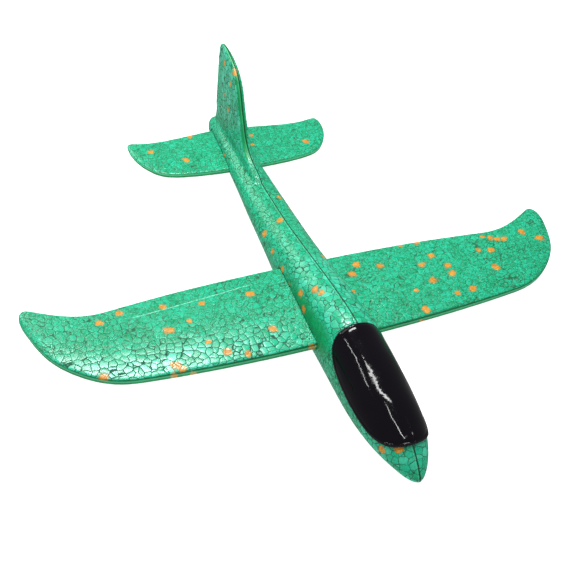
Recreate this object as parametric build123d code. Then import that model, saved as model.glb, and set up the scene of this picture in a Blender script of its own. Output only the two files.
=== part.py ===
"""A hand-launched foam glider that comes apart into its moulded pieces.

Frame, in millimetres: -Y towards the nose, +Z up, +X towards the left wing tip as a pilot would sit.
The origin is under the middle of the glider, level with the flat of its belly.
"""

from math import asin, cos, degrees, pi, sin
import os

from build123d import *

# ---- driving dimensions ----
LENGTH = 465.5  # nose tip to the rear end of the body
FULLNESS = 0.61  # how square a rounded outline is: 0.55 draws an ellipse, 1 a box

# the body: distance behind the nose, half width, height of the underside, height of the top
BODY_STATIONS = [
    (0.0, 0.9, 20.0, 22.0),
    (1.0, 3.1, 18.6, 24.2),
    (4.0, 6.7, 17.0, 27.6),
    (9.5, 10.7, 15.6, 32.8),
    (18.0, 15.2, 13.9, 39.2),
    (30.0, 19.6, 11.2, 44.6),
    (45.0, 22.8, 7.6, 49.0),
    (65.0, 24.6, 3.0, 53.4),
    (90.0, 24.9, -0.4, 57.4),
    (120.0, 24.8, -1.3, 60.6),
    (150.0, 24.9, -1.3, 59.4),
    (185.0, 24.2, -1.3, 55.3),
    (215.0, 22.9, -1.1, 50.7),
    (235.0, 21.9, 2.0, 48.1),
    (265.0, 20.9, 8.0, 44.2),
    (305.0, 19.4, 12.2, 41.9),
    (345.0, 17.2, 16.4, 40.6),
    (387.0, 15.6, 18.8, 40.3),
    (417.0, 14.2, 17.2, 39.4),
    (436.0, 12.6, 14.8, 37.8),
    (448.0, 10.8, 13.2, 36.2),
    (456.0, 8.8, 12.6, 33.6),
    (461.5, 6.4, 13.4, 29.6),
    (464.5, 3.6, 15.4, 24.6),
    (465.5, 1.2, 18.0, 21.6),
]
BELLY_FLAT = 0.0  # the underside is cut flat at this height, so that the glider stands level

# the fin: height, front edge and rear edge behind the nose, thickness
FIN_STATIONS = [
    (32.0, 306.0, 447.0, 13.0),
    (38.0, 315.0, 451.0, 12.0),
    (41.0, 324.0, 452.6, 11.0),
    (44.0, 338.0, 453.4, 10.2),
    (48.0, 355.0, 453.6, 9.6),
    (54.0, 365.5, 453.6, 9.2),
    (62.0, 372.0, 453.4, 9.0),
    (72.0, 377.0, 453.2, 8.8),
    (85.0, 384.3, 453.0, 8.4),
    (101.0, 392.5, 452.8, 7.8),
    (110.7, 400.0, 452.6, 7.2),
    (115.0, 406.0, 452.0, 6.6),
    (119.0, 415.5, 450.8, 5.8),
    (122.0, 426.5, 447.0, 4.2),
    (123.3, 434.0, 442.0, 1.6),
]

# the wing and the tailplane: distance out along the span, front and rear edge behind the nose, thickness
WING_STATIONS = [
    (0.0, 131.6, 223.6, 11.4),
    (60.0, 131.8, 221.8, 11.1),
    (112.0, 132.4, 217.8, 10.6),
    (150.0, 133.4, 212.6, 10.0),
    (175.0, 135.0, 208.6, 9.5),
    (190.0, 139.2, 207.2, 9.0),
    (203.0, 146.4, 209.2, 8.5),
    (214.0, 155.2, 212.8, 7.9),
    (223.0, 165.2, 216.6, 7.2),
    (229.5, 176.0, 219.6, 6.5),
    (234.0, 187.2, 221.2, 5.8),
    (237.5, 197.4, 220.2, 4.8),
    (239.4, 204.6, 217.0, 3.1),
    (240.0, 208.4, 213.6, 1.2),
]
TAIL_STATIONS = [
    (0.0, 369.0, 440.5, 8.2),
    (40.0, 369.6, 433.8, 7.9),
    (64.0, 371.0, 429.8, 7.5),
    (77.0, 373.6, 428.4, 7.1),
    (86.0, 378.6, 428.4, 6.6),
    (93.0, 386.4, 429.2, 6.0),
    (98.4, 395.4, 430.0, 5.3),
    (102.2, 406.0, 428.6, 3.9),
    (104.0, 414.6, 422.6, 1.4),
]
WING_HEIGHT = 29.0  # the middle of the wing's thickness, where it passes through the body
WING_RISE = 14.8  # how much higher its tips are
TAIL_HEIGHT = 27.3
TAIL_RISE = 5.0
CREST = 0.36  # where a wing is thickest, as a share of its chord
WING_SHARES = (0.7, 0.56)  # the front and rear edges' thickness, as shares of the thickest
FIN_SHARES = (0.92, 0.6)
EDGE_LENGTH = 0.4  # the length of the rounded front and rear edges, in half thicknesses
LONGEST_EDGE = 0.45  # and at most this share of the chord
SLOT_GAP = 0.25  # between a wing and the foam of its slot
WING_SLOT_REACH = 34.0  # half the length of each slot's cutter, wider than the body
TAIL_SLOT_REACH = 24.0

# the canopy: distance behind the nose, half width, height of the top
CANOPY_STATIONS = [
    (18.6, 7.0, 40.8),
    (19.8, 14.4, 42.8),
    (23.0, 18.8, 44.8),
    (30.0, 21.6, 47.2),
    (45.0, 23.9, 50.8),
    (65.0, 25.2, 54.6),
    (90.0, 25.4, 58.6),
    (108.0, 25.2, 61.0),
    (115.0, 25.0, 61.9),
    (118.6, 24.6, 61.9),
    (120.4, 23.8, 61.2),
    (121.0, 22.8, 60.2),
]
CANOPY_REAR = 121.0
CANOPY_SOLE = 0.0  # the canopy's sections close at this height, well under its rim
# the canopy's rim seen from the side: distance behind the nose, height
RIM_POINTS = [
    (16.0, 44.0),
    (22.0, 38.8),
    (30.0, 35.0),
    (44.0, 31.8),
    (62.0, 31.4),
    (82.0, 33.2),
    (98.0, 37.0),
    (108.0, 41.8),
    (115.6, 49.0),
    (120.2, 57.0),
    (121.0, 64.0),
]
WALL = 1.2
CANOPY_GAP = 0.35  # between the canopy and the foam plug that it is pushed over
PLUG_FRONT_HEIGHT = 40.0  # the plug's top slopes up from here, at the front
PLUG_REAR_HEIGHT = 47.0

BALLAST_RADIUS = 5.0
BALLAST_LENGTH = 13.0
BALLAST_BEHIND_NOSE = 48.0
BALLAST_FOOT = 30.4  # height of the pocket's floor
BALLAST_GAP = 0.1
POCKET_HEADROOM = 5.0  # room over the slug, in gaps

# ---- sizes of the cutting blocks, and how many sections each loft has ----
CLEAR_HEIGHT = 90.0  # higher than everything in the nose
BLOCK_HALF_WIDTH = 40.0
BODY_SECTIONS = 28
FIN_SECTIONS = 14
WING_SECTIONS = 14
TAIL_SECTIONS = 10
CANOPY_SECTIONS = 16
SPACING_STEPS = 400  # how finely the spacing of a loft's sections is worked out


def along(behind_nose):
    """The Y position of a place given by its distance behind the nose."""
    return behind_nose - LENGTH / 2


def between(rows, key):
    """The values at key on a smooth curve through rows, whose first column is the key."""
    i = max(j for j in range(len(rows) - 1) if rows[j][0] <= key + 1e-9)
    low, high = rows[i], rows[i + 1]
    step = high[0] - low[0]
    u = (key - low[0]) / step
    before = rows[max(i - 1, 0)]
    after = rows[min(i + 2, len(rows) - 1)]
    values = []
    for k in range(1, len(low)):
        rise = high[k] - low[k]
        leave = step * (high[k] - before[k]) / (high[0] - before[0])
        arrive = step * (after[k] - low[k]) / (after[0] - low[0])
        blend = u * (1 - u)
        value = low[k] + rise * u * u * (3 - 2 * u)
        value += blend * (leave * (1 - u) - arrive * u)
        values.append(value)
    return values


def respaced(rows, spread, count):
    """Rows on the same curves, crowded where the shape closes; spread maps 0-1 to 0-1."""
    first, last = rows[0][0], rows[-1][0]
    steps = SPACING_STEPS
    table = [first + (last - first) * spread(i / steps) for i in range(steps + 1)]
    pace = []
    for row in rows:
        i = min(range(steps + 1), key=lambda j: abs(table[j] - row[0]))
        pace.append((i / steps, *row))
    result = []
    for i in range(count + 1):
        result.append(between(pace, i / count))
    return result


def crowd_end(u):
    """Steps that shrink towards the end."""
    return sin(u * pi / 2)


def crowd_both(u):
    """Steps that shrink towards both ends."""
    return (1 - cos(u * pi)) / 2


def curve_of(start, corner_start, corner_end, end):
    """A quarter of a rounded outline, pulled towards its corner."""
    leave = start + (corner_start - start) * FULLNESS
    arrive = end + (corner_end - end) * FULLNESS
    return Bezier(start, leave, arrive, end)


def oval(behind_nose, half_width, bottom, top):
    """A rounded outline across the body, as a face."""
    y = along(behind_nose)
    middle = (bottom + top) / 2
    sides = [
        Vector(half_width, y, middle),
        Vector(0, y, top),
        Vector(-half_width, y, middle),
        Vector(0, y, bottom),
    ]
    corners = [
        Vector(half_width, y, top),
        Vector(-half_width, y, top),
        Vector(-half_width, y, bottom),
        Vector(half_width, y, bottom),
    ]
    quarters = []
    for i in range(4):
        quarters.append(curve_of(sides[i], corners[i], corners[i], sides[(i + 1) % 4]))
    return make_face(Wire(quarters).edges())


def plate(place, front, rear, thickness, shares):
    """A wing's outline as a face, thickest ahead of its middle; place(y, across) gives its points."""
    start, end = along(front), along(rear)
    edge = min(thickness / 2 * EDGE_LENGTH, (end - start) * LONGEST_EDGE)
    nose, tail = place(start, 0), place(end, 0)
    outline = []
    for half in (thickness / 2, -thickness / 2):
        front_half, rear_half = half * shares[0], half * shares[1]
        leave = place(start + edge, front_half)
        crest = place(start + (end - start) * CREST, half)
        arrive = place(end - edge, rear_half)
        front_corner = place(start, front_half)
        rear_corner = place(end, rear_half)
        outline.append(curve_of(nose, front_corner, front_corner, leave))
        outline.append(Spline(leave, crest, arrive))
        outline.append(curve_of(arrive, rear_corner, rear_corner, tail))
    return make_face(Wire(outline).edges())


def bow_radius(stations, rise):
    """The radius of the arc along which a wing's middle curves up to its tips."""
    half_span = stations[-1][0]
    return (half_span**2 + rise**2) / (2 * rise)


def make_wing(stations, height, rise, count):
    """A one-piece wing: its middle follows an arc, so that it slides through a slot of that arc."""
    radius = bow_radius(stations, rise)
    sections = []
    for out, front, rear, thickness in respaced(stations, crowd_end, count):
        angle = asin(out / radius)

        def place(y, across, angle=angle):
            reach = radius - across
            return Vector(reach * sin(angle), y, height + radius - reach * cos(angle))

        sections.append(plate(place, front, rear, thickness, WING_SHARES))
    half = loft(sections)
    return half + mirror(half, Plane.YZ)


def make_slot(stations, height, rise, reach):
    """The arc-shaped channel that a wing slides in, a little larger than the wing's middle."""
    radius = bow_radius(stations, rise)
    _, front, rear, thickness = stations[0]
    root = plate(
        lambda y, across: Vector(0, y, height + across),
        front - SLOT_GAP,
        rear + SLOT_GAP,
        thickness + 2 * SLOT_GAP,
        WING_SHARES,
    )
    axis = Axis((0, 0, height + radius), (0, 1, 0))
    swing = degrees(reach / radius)
    return revolve(root.rotate(axis, -swing), axis, revolution_arc=2 * swing)


def make_bubble(inset):
    """The canopy's rounded outside as a solid, drawn in by inset."""
    sections = []
    for behind_nose, half_width, top in respaced(CANOPY_STATIONS, crowd_end, CANOPY_SECTIONS):
        sections.append(oval(behind_nose, half_width - inset, CANOPY_SOLE, top - inset))
    rear = along(CANOPY_REAR - inset)
    return loft(sections) & Pos(0, rear - CLEAR_HEIGHT, CLEAR_HEIGHT) * Box(*[2 * CLEAR_HEIGHT] * 3)


def make_rim_block(grow):
    """All the space over the canopy's rim and ahead of its rear face, enlarged by grow."""
    rim = []
    for behind_nose, height in RIM_POINTS:
        back = grow if behind_nose == CANOPY_REAR else 0
        rim.append(Vector(0, along(behind_nose) + back, height - grow))
    top_front = Vector(0, rim[0].Y, CLEAR_HEIGHT)
    top_rear = Vector(0, rim[-1].Y, CLEAR_HEIGHT)
    side = [Spline(rim), Line(rim[-1], top_rear), Line(top_rear, top_front), Line(top_front, rim[0])]
    return extrude(make_face(Wire(side).edges()), BLOCK_HALF_WIDTH, both=True)


def make_canopy():
    """The hood over the nose: a thin shell, open underneath."""
    return make_bubble(0) & make_rim_block(0) - make_bubble(WALL)


def make_plug():
    """The foam that stands up inside the canopy, under a top that slopes up to the rear."""
    front, rear = along(RIM_POINTS[0][0]), along(CANOPY_REAR)
    top = [
        Vector(0, front, 0),
        Vector(0, rear, 0),
        Vector(0, rear, PLUG_REAR_HEIGHT),
        Vector(0, front, PLUG_FRONT_HEIGHT),
    ]
    wedge = extrude(make_face(Polyline(*top, close=True).edges()), BLOCK_HALF_WIDTH, both=True)
    return make_bubble(WALL + CANOPY_GAP) & wedge


def make_ballast(gap):
    """The steel slug in the nose, or its pocket when gap is more than 0."""
    foot = Pos(0, along(BALLAST_BEHIND_NOSE), BALLAST_FOOT)
    upright = (Align.CENTER, Align.CENTER, Align.MIN)
    return foot * Cylinder(BALLAST_RADIUS + gap, BALLAST_LENGTH + POCKET_HEADROOM * gap, align=upright)


def make_fuselage():
    """The foam body with its fin, the two slots, and the seat, plug and pocket in the nose."""
    hull = loft([oval(*row) for row in respaced(BODY_STATIONS, crowd_both, BODY_SECTIONS)])
    fin_sections = []
    for height, front, rear, thickness in respaced(FIN_STATIONS, crowd_end, FIN_SECTIONS):
        fin_sections.append(
            plate(lambda y, across: Vector(across, y, height), front, rear, thickness, FIN_SHARES)
        )
    body = hull + loft(fin_sections)
    body -= Pos(0, 0, BELLY_FLAT - CLEAR_HEIGHT / 2) * Box(CLEAR_HEIGHT, LENGTH, CLEAR_HEIGHT)
    body -= make_slot(WING_STATIONS, WING_HEIGHT, WING_RISE, WING_SLOT_REACH)
    body -= make_slot(TAIL_STATIONS, TAIL_HEIGHT, TAIL_RISE, TAIL_SLOT_REACH)
    body -= make_rim_block(CANOPY_GAP) - make_plug()
    return body - make_ballast(BALLAST_GAP)


def main():
    """Builds every piece and writes each to its own file."""
    pieces = {
        "fuselage": make_fuselage(),
        "wing": make_wing(WING_STATIONS, WING_HEIGHT, WING_RISE, WING_SECTIONS),
        "tailplane": make_wing(TAIL_STATIONS, TAIL_HEIGHT, TAIL_RISE, TAIL_SECTIONS),
        "canopy": make_canopy(),
        "nose_weight": make_ballast(0),
    }
    os.makedirs("parts", exist_ok=True)
    for name, piece in pieces.items():
        export_step(piece, f"parts/{name}.step")


if __name__ == "__main__":
    main()
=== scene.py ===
"""Looks of the foam glider: bead foam pieces, a glossy black canopy and a steel slug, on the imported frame."""

import math

import bmesh
import bpy
import numpy as np
from mathutils import Matrix, Vector
from mathutils.kdtree import KDTree


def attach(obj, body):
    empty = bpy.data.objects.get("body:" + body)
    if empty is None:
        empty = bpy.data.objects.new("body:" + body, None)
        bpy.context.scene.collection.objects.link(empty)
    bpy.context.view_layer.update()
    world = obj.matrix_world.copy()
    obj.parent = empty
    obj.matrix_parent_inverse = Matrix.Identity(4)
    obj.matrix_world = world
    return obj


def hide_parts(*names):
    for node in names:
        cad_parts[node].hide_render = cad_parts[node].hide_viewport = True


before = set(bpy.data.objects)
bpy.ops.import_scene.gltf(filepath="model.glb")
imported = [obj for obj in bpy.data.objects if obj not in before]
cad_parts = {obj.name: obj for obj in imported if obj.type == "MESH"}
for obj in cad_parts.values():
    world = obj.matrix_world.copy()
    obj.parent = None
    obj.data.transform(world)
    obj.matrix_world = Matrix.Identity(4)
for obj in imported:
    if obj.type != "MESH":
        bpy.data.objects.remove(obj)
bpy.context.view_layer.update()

MM = 0.001
BEADS_PER_METRE = 172.0
BEAD_DEPTH = 0.09 * MM  # how deep the grooves between beads are
BEAD_STEP = 0.03 * MM  # how much lower one bead may lie than the next


def tint(red, green, blue):
    """A colour from the usual 0-255 numbers, as the linear values that shaders take."""
    linear = []
    for part in (red, green, blue):
        share = part / 255
        linear.append(share / 12.92 if share <= 0.04045 else ((share + 0.055) / 1.055) ** 2.4)
    return (*linear, 1.0)


GREEN_LOW = tint(4, 146, 96)
GREEN_HIGH = tint(14, 174, 130)
# the pale green of a painted highlight on lit beads
GREEN_PAINTED_HIGHLIGHT = tint(96, 220, 190)
GREEN_CURL = tint(62, 200, 162)
GREEN_DEEP = tint(0, 100, 60)
# the smooth moulded skin of edges and steep flanks, in a darker green that is partly painted shade
SKIN_AND_SHADE_LOW = tint(0, 128, 66)
SKIN_AND_SHADE_HIGH = tint(0, 146, 82)
CREVICE = tint(0, 40, 22)
FURROW = tint(0, 76, 42)

# ---- nodes ----


def node(tree, kind, inputs=None, **settings):
    """Adds a node; inputs are values or the sockets that feed it."""
    made = tree.nodes.new(kind)
    for key, value in settings.items():
        setattr(made, key, value)
    for key, value in (inputs or {}).items():
        if isinstance(value, bpy.types.NodeSocket):
            tree.links.new(value, made.inputs[key])
        else:
            made.inputs[key].default_value = value
    return made


def sum_of(tree, operation, first, second=0.0, third=0.0):
    return node(tree, "ShaderNodeMath", {0: first, 1: second, 2: third}, operation=operation).outputs[0]


def vector_of(tree, operation, first, second=(0.0, 0.0, 0.0)):
    return node(tree, "ShaderNodeVectorMath", {0: first, 1: second}, operation=operation).outputs[0]


def ramp(tree, value, low, high, start=0.0, end=1.0):
    """Goes smoothly from start to end as value goes from low to high."""
    inputs = {"Value": value, "From Min": low, "From Max": high, "To Min": start, "To Max": end}
    return node(tree, "ShaderNodeMapRange", inputs, interpolation_type="SMOOTHSTEP").outputs["Result"]


def noise(tree, position, scale, detail=2.0, roughness=0.5, distortion=0.0):
    inputs = {
        "Vector": position,
        "Scale": scale,
        "Detail": detail,
        "Roughness": roughness,
        "Distortion": distortion,
    }
    return node(tree, "ShaderNodeTexNoise", inputs)


def mix(tree, share, first, second, kind="MIX"):
    inputs = {0: share, 6: first, 7: second}
    made = node(tree, "ShaderNodeMix", inputs, data_type="RGBA", blend_type=kind)
    return made.outputs[2]


def beads(tree, position):
    """The moulded beads at a point.

    Gives how near it is to its bead's edge, the bead's own random colour, and the way to the point from the
    bead's centre.
    """
    wobble = noise(tree, position, 150.0, 1.0).outputs["Color"]
    shift = vector_of(tree, "SUBTRACT", wobble, (0.5, 0.5, 0.5))
    shift = node(tree, "ShaderNodeVectorMath", {0: shift, "Scale": 3.2 * MM}, operation="SCALE").outputs[0]
    place = vector_of(tree, "ADD", position, shift)
    inputs = {"Vector": place, "Scale": BEADS_PER_METRE, "Randomness": 0.76}
    cells = node(tree, "ShaderNodeTexVoronoi", inputs, feature="F1")
    edges = node(tree, "ShaderNodeTexVoronoi", inputs, feature="DISTANCE_TO_EDGE")
    offset = vector_of(tree, "SUBTRACT", place, cells.outputs["Position"])
    return edges.outputs["Distance"], cells.outputs["Color"], offset


# ---- geometry ----


def applied(piece):
    """Replaces a piece's mesh with what its modifiers make of it."""
    bpy.context.view_layer.update()
    graph = bpy.context.evaluated_depsgraph_get()
    made = bpy.data.meshes.new_from_object(piece.evaluated_get(graph), depsgraph=graph)
    piece.modifiers.clear()
    old = piece.data
    piece.data = made
    bpy.data.meshes.remove(old)
    made.name = piece.name


def new_piece(name, mesh):
    piece = bpy.data.objects.new(name, mesh)
    bpy.context.scene.collection.objects.link(piece)
    return piece


def moulded(node_name, name, voxel, rounds):
    """A fine even mesh of a CAD node, its edges softened, as a new piece."""
    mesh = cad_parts[node_name].data.copy()
    welded = bmesh.new()
    welded.from_mesh(mesh)
    bmesh.ops.remove_doubles(welded, verts=welded.verts, dist=0.5e-6)
    welded.to_mesh(mesh)
    welded.free()
    mesh.materials.clear()
    piece = new_piece(name, mesh)
    remesh = piece.modifiers.new("even", "REMESH")
    remesh.mode = "VOXEL"
    remesh.voxel_size = voxel
    smooth = piece.modifiers.new("soften", "SMOOTH")
    smooth.factor = 0.5
    smooth.iterations = rounds
    applied(piece)
    for polygon in piece.data.polygons:
        polygon.use_smooth = True
    return piece


def vertices_of(mesh):
    """Vertex positions and normals as arrays."""
    place = np.zeros(len(mesh.vertices) * 3, np.float32)
    facing = np.zeros(len(mesh.vertices) * 3, np.float32)
    mesh.vertices.foreach_get("co", place)
    mesh.vertices.foreach_get("normal", facing)
    return place.reshape(-1, 3).astype(float), facing.reshape(-1, 3).astype(float)


def paint(mesh, name, values):
    """Stores one number for each vertex, for the shader and the relief."""
    layer = mesh.attributes.get(name) or mesh.attributes.new(name, "FLOAT", "POINT")
    layer.data.foreach_set("value", values.astype(np.float32))


def smoothstep(value, low, high):
    share = np.clip((value - low) / (high - low), 0, 1)
    return share * share * (3 - 2 * share)


def bead_relief():
    """Geometry nodes that press the grooves between beads into the surface, never outward."""
    tree = bpy.data.node_groups.new("bead_relief", "GeometryNodeTree")
    tree.interface.new_socket("Geometry", in_out="INPUT", socket_type="NodeSocketGeometry")
    tree.interface.new_socket("Geometry", in_out="OUTPUT", socket_type="NodeSocketGeometry")
    start = tree.nodes.new("NodeGroupInput")
    end = tree.nodes.new("NodeGroupOutput")
    position = tree.nodes.new("GeometryNodeInputPosition").outputs[0]
    facing = tree.nodes.new("GeometryNodeInputNormal").outputs[0]
    edge = node(tree, "GeometryNodeInputNamedAttribute", {"Name": "edge"}, data_type="FLOAT").outputs[0]
    near, own, _ = beads(tree, position)
    groove = ramp(tree, near, 0.0, 0.2, BEAD_DEPTH, 0.0)
    level = node(tree, "ShaderNodeSeparateXYZ", {0: own}).outputs[0]
    level = sum_of(tree, "MULTIPLY", level, BEAD_STEP)
    depth = sum_of(tree, "ADD", groove, level)
    calm = ramp(tree, edge, 0.0, 1.0, 1.0, 0.15)
    depth = sum_of(tree, "MULTIPLY", depth, calm)
    depth = sum_of(tree, "MULTIPLY", depth, -1.0)
    push = node(tree, "ShaderNodeVectorMath", {0: facing, "Scale": depth}, operation="SCALE").outputs[0]
    place = node(tree, "GeometryNodeSetPosition", {"Geometry": start.outputs[0], "Offset": push})
    tree.links.new(place.outputs[0], end.inputs[0])
    return tree


RELIEF = bead_relief()


def spots(place, marks, radius):
    """For each vertex, 1 at a mark, 0.5 at the rim of its spot and 0 well outside every spot."""
    value = np.zeros(len(place))
    for mark in marks:
        middle = place[np.linalg.norm(place - np.array(mark[:3]) * MM, axis=1).argmin()]
        size = radius * (mark[3] if len(mark) > 3 else 1.0)
        away = np.linalg.norm(place - middle, axis=1)
        value = np.maximum(value, 1 - away / (2 * size))
    return value


def scattered(place, free, count, seed):
    """Marks at random vertices where free is true, in millimetres, each with its own size."""
    random = np.random.default_rng(seed)
    picked = random.choice(np.flatnonzero(free), count, replace=False)
    sizes = random.uniform(0.6, 1.1, count)
    return [(*(place[i] / MM), size) for i, size in zip(picked, sizes)]


def beaded(piece, edge, orange, vents, bold_and_lit):
    """Presses the beads into a foam piece, and stores what its material needs."""
    paint(piece.data, "edge", edge)
    paint(piece.data, "orange", orange)
    paint(piece.data, "vents", vents)
    paint(piece.data, "bold_and_lit", bold_and_lit)
    relief = piece.modifiers.new("beads", "NODES")
    relief.node_group = RELIEF
    applied(piece)
    for polygon in piece.data.polygons:
        polygon.use_smooth = True


# ---- materials ----

# the scored line on the right wing: its slope, where it would cross the middle, and its two ends
SCORE_SLOPE = 0.132
SCORE_MIDDLE = -17.27 * MM
SCORE_OUTER = -159 * MM
SCORE_INNER = -51 * MM
SCORE_FADE = 4 * MM


def new_material(name):
    made = bpy.data.materials.new(name)
    made.use_nodes = True
    tree = made.node_tree
    shader = tree.nodes["Principled BSDF"]
    return made, tree, shader


def body_seam(tree, x, y, z):
    """The line along the body's top and up the fin, where the two halves of the mould met."""
    offset_line = ramp(tree, y, -150 * MM, -105 * MM, 0.0, -1.6 * MM)
    on_fin = sum_of(tree, "MULTIPLY", ramp(tree, y, 60 * MM, 90 * MM), ramp(tree, z, 46 * MM, 70 * MM))
    offset_line = sum_of(tree, "MULTIPLY_ADD", on_fin, 1.5 * MM, offset_line)
    across = sum_of(tree, "ADD", x, offset_line)
    groove = ramp(tree, sum_of(tree, "ABSOLUTE", across), 0.3 * MM, 0.75 * MM, 1.0, 0.0)
    beside = sum_of(tree, "ABSOLUTE", sum_of(tree, "ADD", across, 1.3 * MM))
    return groove, ramp(tree, beside, 0.2 * MM, 0.6 * MM, 0.6, 0.0)


def wing_seam(tree, x, z, edge, height, radius):
    """The line along a wing's edge, which follows the wing's bow."""
    bow = sum_of(tree, "MULTIPLY", sum_of(tree, "MULTIPLY", x, x), 0.5 / radius)
    across = sum_of(tree, "SUBTRACT", sum_of(tree, "SUBTRACT", z, height), bow)
    across = sum_of(tree, "ADD", across, -0.9 * MM)
    lip = ramp(tree, sum_of(tree, "ABSOLUTE", across), 0.4 * MM, 1.0 * MM, 1.0, 0.0)
    beside = sum_of(tree, "ABSOLUTE", sum_of(tree, "ADD", across, -1.6 * MM))
    groove = ramp(tree, beside, 0.3 * MM, 0.8 * MM, 0.6, 0.0)
    on_edge = ramp(tree, edge, 0.6, 0.95)
    lip = sum_of(tree, "MULTIPLY", lip, on_edge)
    return sum_of(tree, "MULTIPLY", groove, on_edge), lip


def scored_line(tree, x, y, z, broken):
    """A fine scored line along the rear of the right wing."""
    slant = sum_of(tree, "MULTIPLY_ADD", x, -SCORE_SLOPE, -SCORE_MIDDLE)
    off_line = sum_of(tree, "ABSOLUTE", sum_of(tree, "ADD", y, slant))
    score = ramp(tree, off_line, 0.15 * MM, 0.5 * MM, 1.0, 0.0)
    score = sum_of(tree, "MULTIPLY", score, ramp(tree, x, SCORE_OUTER, SCORE_OUTER + SCORE_FADE))
    inner = ramp(tree, x, SCORE_INNER - SCORE_FADE, SCORE_INNER, 1.0, 0.0)
    score = sum_of(tree, "MULTIPLY", score, inner)
    score = sum_of(tree, "MULTIPLY", score, ramp(tree, z, 30 * MM, 33 * MM))
    return sum_of(tree, "MULTIPLY", score, ramp(tree, broken, 0.4, 0.52, 0.35, 1.0))


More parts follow.
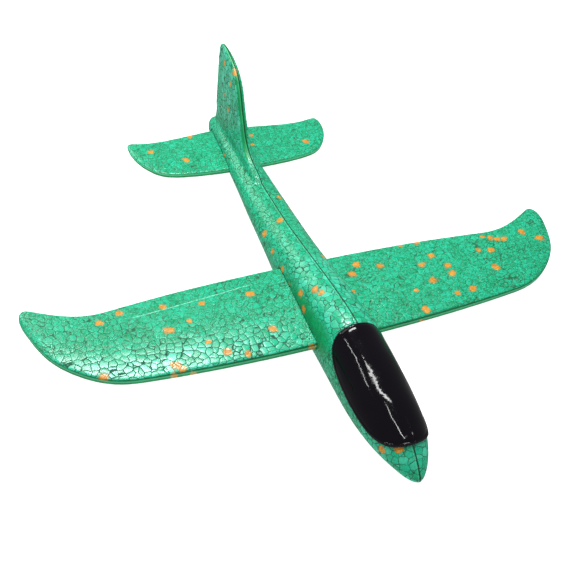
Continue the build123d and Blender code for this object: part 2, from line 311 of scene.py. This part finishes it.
def foam_material(name, seam):
    """Moulded bead foam.

    seam is "x" for a line down the middle of the body, or (height, radius) of a wing's arc.
    """
    made, tree, shader = new_material(name)
    position = tree.nodes.new("ShaderNodeTexCoord").outputs["Object"]
    edge = node(tree, "ShaderNodeAttribute", attribute_name="edge").outputs["Fac"]
    orange = node(tree, "ShaderNodeAttribute", attribute_name="orange").outputs["Fac"]
    vents = node(tree, "ShaderNodeAttribute", attribute_name="vents").outputs["Fac"]
    bold_and_lit = node(tree, "ShaderNodeAttribute", attribute_name="bold_and_lit").outputs["Fac"]
    x, y, z = node(tree, "ShaderNodeSeparateXYZ", {0: position}).outputs
    near, own, offset = beads(tree, position)
    own_a, own_b, own_c = node(tree, "ShaderNodeSeparateXYZ", {0: own}).outputs

    # the odd beads, with a ragged outline
    rag = noise(tree, position, 240.0, 3.0, 0.7).outputs["Fac"]
    ragged = sum_of(tree, "ADD", orange, sum_of(tree, "MULTIPLY_ADD", rag, 1.3, -0.65))
    odd = ramp(tree, ragged, 0.42, 0.58)
    ring = sum_of(tree, "MULTIPLY", ramp(tree, ragged, 0.38, 0.48), ramp(tree, ragged, 0.60, 0.5, 0.0, 1.0))

    # the cracks between beads, wide in some places and closed in others
    patch = noise(tree, position, 38.0, 2.0).outputs["Fac"]
    width = ramp(tree, patch, 0.36, 0.66, 0.04, 0.072)
    width = sum_of(tree, "MULTIPLY_ADD", bold_and_lit, 0.01, width)
    crack = ramp(tree, sum_of(tree, "DIVIDE", near, width), 0.3, 1.0, 1.0, 0.0)
    broken = noise(tree, position, 380.0, 2.0).outputs["Fac"]
    unbroken = sum_of(tree, "MULTIPLY_ADD", bold_and_lit, 0.5, ramp(tree, broken, 0.34, 0.54, 0.3, 1.0))
    crack = sum_of(tree, "MULTIPLY", crack, sum_of(tree, "MINIMUM", unbroken, 1.0))
    crack = sum_of(tree, "MULTIPLY", crack, ramp(tree, edge, 0.2, 0.9, 1.0, 0.1))
    crack = sum_of(tree, "MULTIPLY", crack, ramp(tree, odd, 0.0, 1.0, 1.0, 0.25))
    crack = sum_of(tree, "MAXIMUM", crack, sum_of(tree, "MULTIPLY", ring, 0.55))

    # each bead's wrinkled skin
    grain = noise(tree, position, 360.0, 1.0, 0.5, 2.2).outputs["Fac"]
    bent = vector_of(tree, "ADD", position, vector_of(tree, "MULTIPLY", own, (0.7, 0.7, 0.7)))
    curl = noise(tree, bent, 210.0, 1.0, 0.5, 3.0).outputs["Fac"]
    ridge = sum_of(tree, "ABSOLUTE", sum_of(tree, "SUBTRACT", curl, 0.44))
    shine = ramp(tree, ridge, 0.01, 0.07, 1.0, 0.0)
    furrow = sum_of(tree, "ABSOLUTE", sum_of(tree, "SUBTRACT", curl, 0.62))
    wrinkle = ramp(tree, furrow, 0.01, 0.08, 1.0, 0.0)
    shade = ramp(tree, grain, 0.5, 0.34)
    calm = sum_of(tree, "MULTIPLY_ADD", bold_and_lit, -0.7, 1.0)

    # vent marks: small pits in groups
    pits = {"Vector": position, "Scale": 460.0, "Randomness": 0.35}
    pit = node(tree, "ShaderNodeTexVoronoi", pits, feature="F1").outputs["Distance"]
    pit = sum_of(tree, "MULTIPLY", ramp(tree, pit, 0.16, 0.3, 1.0, 0.0), ramp(tree, vents, 0.45, 0.55))

    # painted highlight: on the nose, the upward-facing shoulder, the fin's faces and the wing's front, the
    # green is lifted and mixed towards pale green
    own_tone_and_highlight = sum_of(tree, "MULTIPLY_ADD", bold_and_lit, 0.3, own_b)
    green = mix(tree, own_tone_and_highlight, GREEN_LOW, GREEN_HIGH)
    pale = sum_of(tree, "MULTIPLY", bold_and_lit, ramp(tree, own_c, 0.2, 1.0, 0.0, 0.5))
    green = mix(tree, pale, green, GREEN_PAINTED_HIGHLIGHT)
    creases = [(shine, 0.65, GREEN_CURL), (shade, 0.4, GREEN_DEEP), (wrinkle, 0.7, GREEN_DEEP)]
    for mark, strength, tone in creases:
        share = sum_of(tree, "MULTIPLY", mark, sum_of(tree, "MULTIPLY", calm, strength))
        green = mix(tree, share, green, tone)
    # edges and steep flanks take the darker skin colour: smooth moulded skin, darkened further as painted shade
    skin_and_shade = mix(tree, own_c, SKIN_AND_SHADE_LOW, SKIN_AND_SHADE_HIGH)
    green = mix(tree, ramp(tree, edge, 0.2, 0.85), green, skin_and_shade)

    amber = mix(tree, own_c, tint(190, 124, 20), tint(204, 142, 40))
    amber = mix(tree, ramp(tree, ragged, 0.62, 0.46, 0.0, 0.6), amber, tint(160, 104, 14))
    amber = mix(tree, sum_of(tree, "MULTIPLY", shine, 0.5), amber, tint(224, 182, 104))
    amber = mix(tree, sum_of(tree, "MULTIPLY", shade, 0.6), amber, tint(178, 98, 14))
    colour = mix(tree, odd, green, amber)
    crevice = mix(tree, ring, mix(tree, bold_and_lit, FURROW, CREVICE), tint(120, 84, 20))
    colour = mix(tree, sum_of(tree, "MULTIPLY", crack, 0.9), colour, crevice)
    colour = mix(tree, sum_of(tree, "MULTIPLY", pit, 0.8), colour, tint(0, 44, 28))

    if seam == "x":
        groove, lip = body_seam(tree, x, y, z)
    else:
        groove, lip = wing_seam(tree, x, z, edge, *seam)
    colour = mix(tree, sum_of(tree, "MULTIPLY", lip, 0.5), colour, tint(96, 214, 166))
    colour = mix(tree, sum_of(tree, "MULTIPLY", groove, 0.9), colour, CREVICE)
    if name == "bead_foam_wing":
        score = scored_line(tree, x, y, z, broken)
        colour = mix(tree, sum_of(tree, "MULTIPLY", score, 0.65), colour, tint(170, 240, 214))
    tree.links.new(colour, shader.inputs["Base Color"])

    rough = sum_of(tree, "MULTIPLY_ADD", own_a, 0.05, 0.18)
    rough = sum_of(tree, "MULTIPLY_ADD", shade, 0.12, rough)
    rough = sum_of(tree, "MULTIPLY_ADD", crack, 0.5, rough)
    rough = sum_of(tree, "MULTIPLY_ADD", edge, 0.12, rough)
    tree.links.new(rough, shader.inputs["Roughness"])
    shader.inputs["IOR"].default_value = 1.44

    lean = vector_of(tree, "SUBTRACT", own, (0.5, 0.5, 0.5))
    lean = node(tree, "ShaderNodeVectorMath", {0: lean, 1: offset}, operation="DOT_PRODUCT").outputs["Value"]
    height = sum_of(tree, "MULTIPLY", lean, 0.034)
    height = sum_of(tree, "ADD", height, ramp(tree, near, 0.0, 0.07, 0.0, 0.10 * MM))
    height = sum_of(tree, "MULTIPLY_ADD", grain, sum_of(tree, "MULTIPLY", calm, 0.08 * MM), height)
    height = sum_of(tree, "MULTIPLY_ADD", wrinkle, sum_of(tree, "MULTIPLY", calm, -0.03 * MM), height)
    height = sum_of(tree, "MULTIPLY_ADD", pit, -0.2 * MM, height)
    height = sum_of(tree, "MULTIPLY", height, ramp(tree, edge, 0.2, 0.9, 1.0, 0.3))
    height = sum_of(tree, "MULTIPLY_ADD", lip, 0.2 * MM, height)
    height = sum_of(tree, "MULTIPLY_ADD", groove, -0.3 * MM, height)
    bump = node(tree, "ShaderNodeBump", {"Height": height, "Distance": 1.0, "Strength": 0.8})
    tree.links.new(bump.outputs[0], shader.inputs["Normal"])
    return made


LIP = 0.4 * MM  # how far the canopy's rim stands out
GATE = tuple(np.array((-5.0, -208.6, 45.2)) * MM)  # the mark left where the plastic was trimmed
# the canopy's rim seen from the side, in millimetres: y and height
RIM = [
    (-217, 44), (-211, 38.8), (-203, 35), (-189, 31.8), (-171, 31.4), (-151, 33.2), (-135, 37),
    (-125, 41.8), (-117, 49), (-112.5, 57), (-112, 64),
]  # fmt: skip


def canopy_material():
    """Thin glossy black plastic, pressed over a mould, so that its reflections wander."""
    made, tree, shader = new_material("black_plastic")
    position = tree.nodes.new("ShaderNodeTexCoord").outputs["Object"]
    slow = noise(tree, position, 26.0, 1.0).outputs["Fac"]
    quick = noise(tree, position, 120.0, 2.0).outputs["Fac"]
    speck = noise(tree, position, 900.0, 1.0).outputs["Fac"]
    rim = node(tree, "ShaderNodeAttribute", attribute_name="rim").outputs["Fac"]
    gate = node(tree, "ShaderNodeVectorMath", {0: position, 1: GATE}, operation="DISTANCE").outputs["Value"]
    by_gate = ramp(tree, gate, 0.8 * MM, 2.4 * MM, 1.0, 0.0)
    star = sum_of(tree, "MULTIPLY", by_gate, ramp(tree, quick, 0.4, 0.6))
    colour = mix(tree, slow, tint(5, 3, 8), tint(10, 7, 13))
    colour = mix(tree, star, colour, tint(150, 144, 152))
    # painted highlight: a lighter grey band along the rim
    colour = mix(tree, ramp(tree, rim, 0.5, 1.6, 0.6, 0.0), colour, tint(34, 33, 37))
    tree.links.new(colour, shader.inputs["Base Color"])
    rough = ramp(tree, quick, 0.3, 0.7, 0.05, 0.09)
    rough = sum_of(tree, "ADD", rough, ramp(tree, speck, 0.66, 0.75, 0.0, 0.12))
    tree.links.new(rough, shader.inputs["Roughness"])
    shader.inputs["IOR"].default_value = 1.28
    height = sum_of(tree, "MULTIPLY", slow, 2.2 * MM)
    height = sum_of(tree, "ADD", height, sum_of(tree, "MULTIPLY", quick, 0.14 * MM))
    height = sum_of(tree, "MULTIPLY_ADD", star, 0.3 * MM, height)
    bump = node(tree, "ShaderNodeBump", {"Height": height, "Distance": 1.0, "Strength": 1.0})
    tree.links.new(bump.outputs[0], shader.inputs["Normal"])
    return made


def steel_material():
    """Turned steel, with fine rings from the lathe."""
    made, tree, shader = new_material("turned_steel")
    position = tree.nodes.new("ShaderNodeTexCoord").outputs["Object"]
    stretched = vector_of(tree, "MULTIPLY", position, (60.0, 60.0, 4000.0))
    rings = noise(tree, stretched, 1.0, 2.0).outputs["Fac"]
    stain = noise(tree, position, 300.0, 3.0).outputs["Fac"]
    colour = mix(tree, stain, tint(150, 152, 155), tint(192, 194, 196))
    tree.links.new(colour, shader.inputs["Base Color"])
    tree.links.new(ramp(tree, rings, 0.3, 0.7, 0.25, 0.45), shader.inputs["Roughness"])
    shader.inputs["Metallic"].default_value = 1.0
    height = sum_of(tree, "MULTIPLY", rings, 0.02 * MM)
    bump = node(tree, "ShaderNodeBump", {"Height": height, "Distance": 1.0, "Strength": 0.6})
    tree.links.new(bump.outputs[0], shader.inputs["Normal"])
    return made


# ---- the pieces ----

# the middle of each one's thickness at the body, and the radius of the arc that it is bowed to
WING_HEIGHT, WING_RADIUS = 29.0 * MM, 1953.35 * MM
TAIL_HEIGHT, TAIL_RADIUS = 27.3 * MM, 1084.1 * MM

SPOT = 3.1 * MM  # the usual radius of an orange bead
VENT = 2.8 * MM  # and of a group of vent marks

# orange beads seen from above, in millimetres: x, y, and a size beside the usual one
WING_MARKS = [
    (-182, -37), (-165, -30), (-130, -31), (-99, -35, 0.9), (-57, -35, 1.1), (-134, -59, 1.2),
    (-115, -53, 0.7), (-107, -77, 0.7), (-95, -90, 1.1), (-81, -96, 1.0), (-53, -78, 1.05),
    (-191, -91, 1.1), (-138, -93, 1.1), (-133, -97, 1.1), (-135, -95, 0.9),
    (45, -27, 1.05), (64, -35), (37, -38, 1.1), (28, -58, 0.6), (95, -15, 0.8), (110, -17, 0.9),
    (115, -39, 1.05), (101, -46, 1.1), (122, -55, 1.05), (121, -65, 1.1), (100, -67, 1.1),
    (80, -73, 0.7), (78, -95, 1.1), (113, -87, 0.75), (128, -87, 1.1), (161, -72, 1.05),
    (158, -46, 0.85), (169, -50, 1.05), (172, -31, 0.9), (177, -35, 0.95), (182, -39, 1.0),
    (189, -41, 1.05), (209, -39, 1.05), (219, -53, 1.15),
]  # fmt: skip
WING_FRONT_MARKS = [(-142, 1.0), (-126, 0.8), (-29, 1.1)]  # x and size, on the front edge
WING_VENTS = [
    (-159, -62), (-129, -67), (-170, -88), (-142, -90), (-109, -87), (-66, -83),
    (58, -22), (140, -84), (40, -88),
]  # fmt: skip
TAIL_MARKS = [(-84, 178), (-54, 158), (-37, 198, 0.8), (75, 157, 1.1), (25, 184, 0.8), (20, 168, 0.8)]
TAIL_VENTS = [(-70, 190), (-30, 172), (50, 180), (88, 172)]
# on the body, in millimetres: x, y, z, and a size
BODY_MARKS = [
    (11, 72, 40, 1.0), (-3, 36, 44, 0.95), (-18, 33, 34, 1.0), (-20, 9, 34, 0.9), (-22.5, -17, 36, 1.0),
    (-21, -55, 44, 1.0), (-13, -63, 54, 1.05), (-10, -69, 57, 1.05), (-23.5, -68, 38, 1.1),
    (-17, -203, 30, 1.0), (-10, -211.5, 38, 1.0),
    (-1.5, 173, 115, 1.1), (-3, 178, 100, 0.8), (-2, 198, 110, 0.85), (-4, 190, 80, 0.7), (-4, 180, 69, 0.85),
]  # fmt: skip
BODY_VENTS = [(-4, 172, 84), (-4, 190, 95), (-4, 176, 62), (5, 180, 90), (-20, 70, 28), (20, -10, 44)]


def on_top(marks, height, radius, thickness):
    """Marks on a wing given by x and y, set on its upper side."""
    placed = []
    for x, y, *size in marks:
        bow = (x * MM) ** 2 / (2 * radius)
        placed.append((x, y, (height + bow) / MM + thickness, *size))
    return placed


def on_front(marks, height, radius, y):
    """Marks on a wing's front edge, given by x and a size."""
    return [(x, y, (height + (x * MM) ** 2 / (2 * radius)) / MM, size) for x, size in marks]


def blended(piece, share, rounds):
    """Softens a piece further where share is more than 0."""
    group = piece.vertex_groups.new(name="blend")
    for i in np.flatnonzero(share > 0.01):
        group.add([int(i)], float(share[i]), "REPLACE")
    smooth = piece.modifiers.new("blend", "SMOOTH")
    smooth.factor = 0.5
    smooth.iterations = rounds
    smooth.vertex_group = "blend"
    applied(piece)
    piece.vertex_groups.clear()


def make_body():
    piece = moulded("fuselage", "foam_body", 1.15 * MM, 3)
    place, _ = vertices_of(piece.data)
    root = smoothstep(place[:, 1], 66 * MM, 80 * MM) * smoothstep(place[:, 2], 35 * MM, 39 * MM)
    root *= 1 - smoothstep(place[:, 2], 46 * MM, 56 * MM)
    blended(piece, root, 36)
    place, facing = vertices_of(piece.data)
    on_fin = smoothstep(place[:, 2], 44 * MM, 52 * MM) * (place[:, 1] > 90 * MM)
    edge = on_fin * (1 - smoothstep(np.abs(facing[:, 0]), 0.6, 0.9))
    # only the part of the fin's edge turned towards -x, which lies in shade, keeps the darker colour: painted
    # shade
    edge = edge * (1 - smoothstep(facing[:, 0], 0.05, 0.4))
    # the steep flanks along the waist beside the canopy also get the darker colour, as painted shade
    waist = smoothstep(place[:, 1], -140 * MM, -100 * MM) * (1 - smoothstep(place[:, 1], -60 * MM, 0))
    shaded_flank = smoothstep(np.abs(facing[:, 0]), 0.72, 0.95) * (place[:, 2] > 30 * MM)
    edge = np.maximum(edge, 0.7 * waist * shaded_flank)
    hidden = (facing[:, 0] > 0.5) & (place[:, 2] < 50 * MM) & (place[:, 1] > -100 * MM)
    shown = (facing[:, 2] < -0.3) | hidden
    orange = spots(place, BODY_MARKS + scattered(place, shown, 46, 7), SPOT)
    # nose, upward-facing shoulder and fin faces: bolder cracks, and a painted highlight on their beads
    nose = 1 - smoothstep(place[:, 1], -190 * MM, -170 * MM)
    lit_shoulder = smoothstep(facing[:, 2], 0.3, 0.7) * (1 - smoothstep(place[:, 1], -50 * MM, 20 * MM))
    bold_and_lit = np.maximum(np.maximum(0.7 * nose, 0.8 * lit_shoulder), on_fin * (1 - edge))
    beaded(piece, edge, orange, spots(place, BODY_VENTS, VENT), bold_and_lit)
    piece.data.materials.append(foam_material("bead_foam_body", "x"))
    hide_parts("fuselage")
    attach(piece, "fuselage")


def make_wing(node_name, name, voxel, height, radius, thickness, marks, vents, below, seed):
    piece = moulded(node_name, name, voxel, 3)
    place, facing = vertices_of(piece.data)
    # steep faces round the wing's edges take the darker edge colour: smooth skin, darkened further as painted
    # shade
    edge = 1 - smoothstep(np.abs(facing[:, 2]), 0.5, 0.85)
    under = facing[:, 2] < -0.3
    marks = on_top(marks, height, radius, thickness) + scattered(place, under, below, seed)
    if node_name == "wing":
        marks += on_front(WING_FRONT_MARKS, height, radius, place[:, 1].min() / MM)
    orange = spots(place, marks, SPOT)
    vents = on_top(vents, height, radius, thickness) + scattered(place, under, below // 3, seed + 1)
    # the wing's front on the -x side: bolder cracks and a painted highlight on its beads
    front = 1 - smoothstep(place[:, 1] - place[:, 1].min(), 14 * MM, 40 * MM)
    bold_and_lit = front * (1 - smoothstep(place[:, 0], -70 * MM, 0)) if node_name == "wing" else 0 * front
    beaded(piece, edge, orange, spots(place, vents, VENT), bold_and_lit)
    piece.data.materials.append(foam_material("bead_foam_" + node_name, (height, radius)))
    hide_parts(node_name)
    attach(piece, node_name)


def make_canopy():
    piece = moulded("canopy", "canopy_shell", 0.5 * MM, 10)
    place, facing = vertices_of(piece.data)
    ends, heights = np.array(RIM).T * MM
    low = np.abs(place[:, 2] - np.interp(place[:, 1], ends, heights)) < 0.7 * MM
    low |= place[:, 1] > place[:, 1].max() - 0.4 * MM
    tree = KDTree(int(low.sum()))
    for i, point in enumerate(place[low]):
        tree.insert(point, i)
    tree.balance()
    rim = np.array([tree.find(point)[2] for point in place]) / MM
    paint(piece.data, "rim", rim)
    outer = (facing[:, 0] * place[:, 0] + facing[:, 2] * (place[:, 2] - 20 * MM)) > 0
    front = 1 - 0.5 * smoothstep(place[:, 1], -190 * MM, -170 * MM)
    lip = (1 - smoothstep(rim, 1.2, 2.0)) - 0.5 * np.exp(-(((rim - 2.5) / 0.5) ** 2))
    place = place + facing * (lip * outer * front * LIP)[:, None]
    piece.data.vertices.foreach_set("co", place.astype(np.float32).ravel())
    piece.data.update()
    piece.data.materials.append(canopy_material())
    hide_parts("canopy")
    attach(piece, "canopy")


make_body()
make_wing("wing", "foam_wing", 1.0 * MM, WING_HEIGHT, WING_RADIUS, 5, WING_MARKS, WING_VENTS, 36, 3)
make_wing("tailplane", "foam_tailplane", 0.9 * MM, TAIL_HEIGHT, TAIL_RADIUS, 3, TAIL_MARKS, TAIL_VENTS, 9, 5)
make_canopy()

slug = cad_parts["nose_weight"]
slug.data.materials.clear()
slug.data.materials.append(steel_material())

# ---- floor, light and camera ----

FLOOR_REACH = 6.0  # from its middle to each side, in metres
FLOOR_DROP = 0.2 * MM  # how far it lies under the glider's belly
FLOOR_TONE = 0.4
FLOOR_GLOW = 0.97
WORLD_GLOW = 0.34

CAMERA_ANGLES = (-27.4, 44.5, 7.8)  # azimuth, elevation and roll, in degrees
CAMERA_AIM = (-23.1, -29.45, 30.0)  # in millimetres
CAMERA_DISTANCE = 0.68873  # in metres
CAMERA_LENS = 51.03
CAMERA_SENSOR = 36.0

# in metres and watts: name, place, what it aims at, length, width, power, and the way its length runs
LIGHTS = [
    ("window", (-0.01, 0.375, 0.91), (-0.14, -0.085, 0.04), 0.44, 0.12, 7.6, (1, 0, 0)),
    ("rear", (-0.30, 0.80, 0.56), (0, -0.02, 0.04), 0.6, 0.4, 2.4, (1, 0, 0)),
    ("glint", (0.52, -0.29, 0.90), (0.002, -0.208, 0.046), 0.07, 0.05, 0.25, (0, 1, 0)),
    ("strip_left", (-0.56, 0.19, 0.80), (-0.014, -0.144, 0.055), 0.37, 0.02, 1.0, (0.14, -0.28, 0.21)),
    ("strip_middle", (-0.01, 0.02, 1.02), (-0.006, -0.17, 0.054), 0.44, 0.045, 2.8, (0.4, -0.18, 0.03)),
    ("strip_front", (-0.095, -0.265, 1.025), (-0.007, -0.197, 0.048), 0.39, 0.03, 2.0, (0.11, -0.37, -0.03)),
]


def make_floor():
    mesh = bpy.data.meshes.new("floor")
    far = FLOOR_REACH
    corners = [(-far, -far, 0), (far, -far, 0), (far, far, 0), (-far, far, 0)]
    mesh.from_pydata(corners, [], [(0, 1, 2, 3)])
    floor = new_piece("floor", mesh)
    floor.location.z = -FLOOR_DROP
    made, _, shader = new_material("pale_floor")
    shader.inputs["Base Color"].default_value = (FLOOR_TONE, FLOOR_TONE, FLOOR_TONE, 1.0)
    shader.inputs["Roughness"].default_value = 0.9
    shader.inputs["Specular IOR Level"].default_value = 0.1
    shader.inputs["Emission Color"].default_value = (1.0, 1.0, 1.0, 1.0)
    shader.inputs["Emission Strength"].default_value = FLOOR_GLOW
    mesh.materials.append(made)
    floor.visible_glossy = False


def stand(name, data, side, up, back, place):
    """Adds a light or a camera at a place, with its own X along side, Y along up and Z along back."""
    thing = bpy.data.objects.new(name, data)
    bpy.context.scene.collection.objects.link(thing)
    rows = [(side[i], up[i], back[i], place[i]) for i in range(3)]
    thing.matrix_world = Matrix((*rows, (0, 0, 0, 1)))
    return thing


def make_light(name, place, aim, long, wide, energy, turn):
    light = bpy.data.lights.new(name, "AREA")
    light.shape = "RECTANGLE"
    light.size = long
    light.size_y = wide
    light.energy = energy
    back = (Vector(place) - Vector(aim)).normalized()
    side = Vector(turn)
    side = (side - back * side.dot(back)).normalized()
    stand(name, light, side, back.cross(side), back, place)


def make_camera():
    azimuth, elevation, roll = (math.radians(angle) for angle in CAMERA_ANGLES)
    level_share = math.cos(elevation)
    back = Vector((math.sin(azimuth) * level_share, -math.cos(azimuth) * level_share, math.sin(elevation)))
    level = back.cross(Vector((0, 0, 1))).normalized() * -1
    rise = back.cross(level)
    side = level * math.cos(roll) + rise * math.sin(roll)
    up = rise * math.cos(roll) - level * math.sin(roll)
    camera = bpy.data.cameras.new("camera")
    camera.lens = CAMERA_LENS
    camera.sensor_width = CAMERA_SENSOR
    camera.clip_start = 0.01
    place = Vector(CAMERA_AIM) * MM + back * CAMERA_DISTANCE
    bpy.context.scene.camera = stand("camera", camera, side, up, back, place)


world = bpy.data.worlds.new("studio")
world.use_nodes = True
world.node_tree.nodes["Background"].inputs["Color"].default_value = (1.0, 1.0, 1.0, 1.0)
world.node_tree.nodes["Background"].inputs["Strength"].default_value = WORLD_GLOW
bpy.context.scene.world = world
bpy.context.scene.view_settings.view_transform = "Standard"

make_floor()
for row in LIGHTS:
    make_light(*row)
make_camera()
